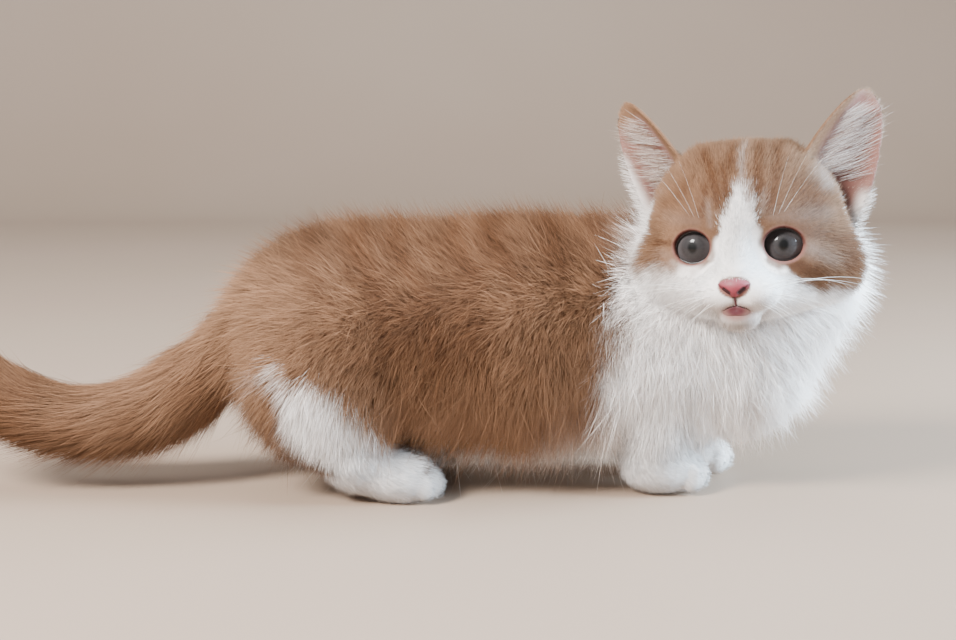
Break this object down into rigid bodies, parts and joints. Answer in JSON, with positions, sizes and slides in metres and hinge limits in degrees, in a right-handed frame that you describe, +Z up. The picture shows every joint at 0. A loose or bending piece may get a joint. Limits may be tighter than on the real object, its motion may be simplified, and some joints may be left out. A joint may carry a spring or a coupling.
{
  "type": "munchkin kitten",
  "caption": "Still life-size munchkin kitten, orange and white, standing on short legs with its face turned to its right.",
  "frame": {"origin": "centre of the bounding box at the level of the paws' soles", "axes": "+Z up, +X along the body towards the head, +Y to the kitten's left; the face looks past its right shoulder towards -Y"},
  "size_m": [0.3456, 0.1088, 0.1405],
  "materials": {
    "coat_orange": "soft ginger kitten fur with faint darker bars",
    "coat_white": "soft white kitten fur",
    "skin": "matt pink skin in the ears",
    "eyelid": "dark thin lid rim",
    "nose_leather": "matt moist pink",
    "lip": "moist dark pink",
    "eye": "wet glossy grey iris with a black pupil",
    "whisker": "fine white hair"
  },
  "bodies": {
    "root": {"head": "coat_white", "ear_left": "coat_orange", "ear_right": "coat_orange", "eye_left": "eye", "eye_right": "eye", "nose": "nose_leather", "neck": "coat_white", "chest": "coat_white", "torso": "coat_orange", "tail_root": "coat_orange", "tail_middle": "coat_orange", "tail_end": "coat_orange", "tail_tip": "coat_orange", "front_leg_left": "coat_white", "front_leg_right": "coat_white", "hind_leg_left": "coat_white", "hind_leg_right": "coat_white"}
  },
  "joints": []
}
